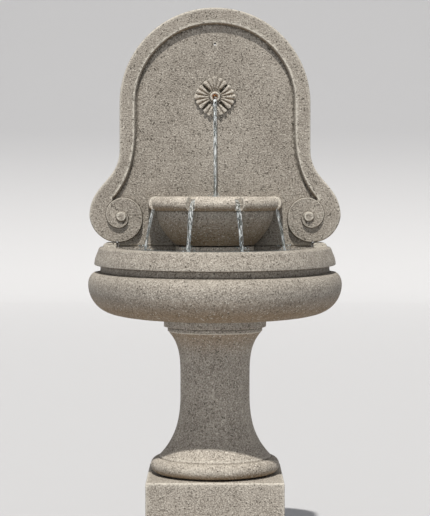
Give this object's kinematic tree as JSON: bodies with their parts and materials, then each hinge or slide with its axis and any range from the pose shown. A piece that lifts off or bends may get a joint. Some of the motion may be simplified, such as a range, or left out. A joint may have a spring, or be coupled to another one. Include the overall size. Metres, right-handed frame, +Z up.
{
  "type": "wall fountain",
  "caption": "Pedestal wall fountain in cast stone: scrolled arch backplate, leaf rosette spout, spill bowl and half-oval basin on a turned pedestal and square plinth, with a submerged pump.",
  "frame": {"origin": "on the floor, midway between the wall face and the front of the basin, on the centre line", "axes": "+Z up, +Y into the wall, +X to the right for a person facing the fountain"},
  "size_m": [0.666, 0.496, 1.443],
  "materials": {
    "cast_stone": "acid-washed cast stone, pitted and sandy",
    "black_rubber": "matt moulded",
    "black_plastic": "moulded, fine texture",
    "grey_plastic": "moulded",
    "stainless_steel": "drawn",
    "core_steel": "laminated",
    "copper_winding": "enamelled wire",
    "copper_tube": "drawn, weathered",
    "brass_fitting": "turned",
    "vinyl_hose": "smooth extruded",
    "white_ceramic": "ground",
    "ferrite": "sintered"
  },
  "bodies": {
    "root": {"plinth": "cast_stone", "pedestal_shims": "black_rubber", "pedestal": "cast_stone", "basin_shims": "black_rubber", "basin": "cast_stone", "drain_bushing": "black_plastic", "cord_stopper": "black_rubber", "backplate_shims": "black_rubber", "backplate_dowels": "stainless_steel", "backplate": "cast_stone", "rosette": "cast_stone", "bowl_riser": "cast_stone", "bowl_shims": "black_rubber", "bowl_pins": "stainless_steel", "bowl": "cast_stone", "spout_tube": "copper_tube", "spout_washer": "black_rubber", "spout_locknut": "brass_fitting", "spout_elbow": "brass_fitting", "supply_hose": "vinyl_hose", "hose_clamps": "stainless_steel", "pump_feet": "black_rubber", "pump_housing": "black_plastic", "pump_cable_gland": "black_rubber", "stator_core": "core_steel", "stator_coil": "copper_winding", "pump_bushes": "black_rubber", "pump_shaft": "white_ceramic", "pump_seal": "black_rubber", "impeller_cover": "black_plastic"},
    "rotor": {"rotor_magnet": "ferrite", "impeller": "black_plastic"},
    "strainer": {"strainer": "black_plastic"},
    "flow_dial": {"flow_dial": "grey_plastic"},
    "drain_stopper": {"drain_stopper": "black_rubber"}
  },
  "joints": [
    {"name": "rotor_spin", "type": "hinge", "parent": "root", "child": "rotor", "pos_m": [0, 0.142, 0.721], "axis": [1, 0, 0], "continuous": true},
    {"name": "strainer_slide", "type": "slide", "parent": "root", "child": "strainer", "axis": [1, 0, 0], "range_m": [0, 0.02]},
    {"name": "flow_dial_turn", "type": "hinge", "parent": "strainer", "child": "flow_dial", "pos_m": [0.033, 0.142, 0.721], "axis": [1, 0, 0], "range_deg": [0, 90]},
    {"name": "drain_stopper_lift", "type": "slide", "parent": "root", "child": "drain_stopper", "axis": [0, 0, 1], "range_m": [0, 0.06]}
  ]
}
